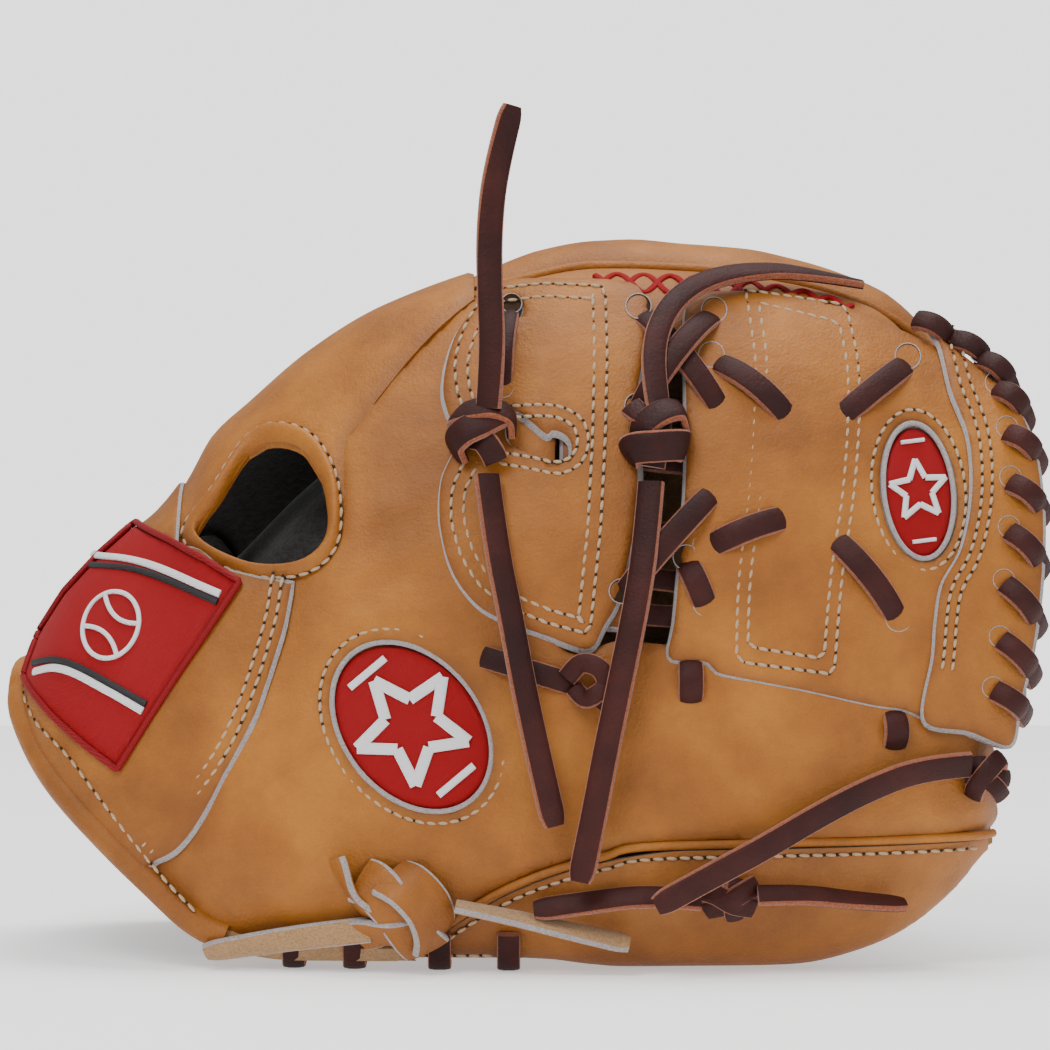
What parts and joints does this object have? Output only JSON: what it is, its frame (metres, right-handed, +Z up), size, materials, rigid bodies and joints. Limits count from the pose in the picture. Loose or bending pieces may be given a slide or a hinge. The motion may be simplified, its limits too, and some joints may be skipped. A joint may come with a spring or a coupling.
{
  "type": "baseball glove",
  "caption": "Leather ball glove with laced web, padded finger stalls, wrist strap and deep pocket; thumb and little-finger sides fold in.",
  "frame": {"origin": "middle of the glove's footprint on the floor, without its loose lace ends", "axes": "+Z up, +X the way the fingers point, -Y the thumb side"},
  "size_m": [0.2933, 0.1756, 0.2387],
  "materials": {
    "shell_leather": "oiled tan steerhide",
    "lace": "waxed mahogany lace",
    "tan_lace": "tan leather strip with raw edge",
    "patch": "embroidered twill",
    "felt": "wool felt",
    "shearling": "woolly pile",
    "lining": "soft inner leather"
  },
  "bodies": {
    "hand": {"hand_back_leather": "shell_leather", "index_back_leather": "shell_leather", "middle_back_leather": "shell_leather", "index_stall": "lining", "middle_stall": "lining", "index_welt": "shell_leather", "wrist_strap": "shell_leather", "strap_lining": "shearling", "thumb_heel_leather": "shell_leather", "pinky_heel_leather": "shell_leather", "heel_soles": "shell_leather", "heel_pads": "felt", "hole_binding": "shell_leather", "wrist_binding": "shell_leather", "palm_leather": "shell_leather", "palm_felt": "felt", "palm_lining": "lining", "wrist_patch": "patch", "finger_lace": "lace", "heel_lace": "lace", "heel_knot": "tan_lace", "heel_tail_left": "tan_lace", "heel_tail_right": "tan_lace"},
    "thumb_side": {"thumb_back_leather": "shell_leather", "thumb_palm_leather": "shell_leather", "thumb_stall": "lining", "thumb_welt": "shell_leather", "thumb_patch": "patch", "web_loop": "shell_leather", "web_loop_lining": "lining", "web_strap": "shell_leather", "web_strap_lining": "lining", "web_rim_cap": "shell_leather", "web_patch": "patch", "rim_lace": "lace", "web_cross_lace": "lace", "web_strap_lace": "lace", "web_thumb_lace": "lace", "web_loop_lace": "lace", "short_lace": "lace", "thumb_heel_lace": "lace", "loop_knot": "lace", "web_knot": "lace", "corner_knot": "lace", "thumb_knot": "lace", "loop_tail_up": "lace", "loop_tail_down": "lace", "web_tail_up": "lace", "web_tail_down": "lace", "corner_tail": "lace", "thumb_tail_left": "lace", "thumb_tail_right": "lace"},
    "pinky_side": {"ring_back_leather": "shell_leather", "pinky_back_leather": "shell_leather", "ring_stall": "lining", "pinky_stall": "lining", "ring_welt": "shell_leather", "pinky_palm_leather": "shell_leather", "outer_finger_lace": "lace"}
  },
  "joints": [
    {"name": "thumb_close", "type": "hinge", "parent": "hand", "child": "thumb_side", "pos_m": [-0.0016, -0.02815, 0.14], "axis": [1, 0, 0], "range_deg": [0, 12], "stiffness_Nm_per_rad": 3},
    {"name": "pinky_close", "type": "hinge", "parent": "hand", "child": "pinky_side", "pos_m": [-0.0016, 0.01585, 0.16], "axis": [-1, 0, 0], "range_deg": [0, 10], "stiffness_Nm_per_rad": 3}
  ]
}
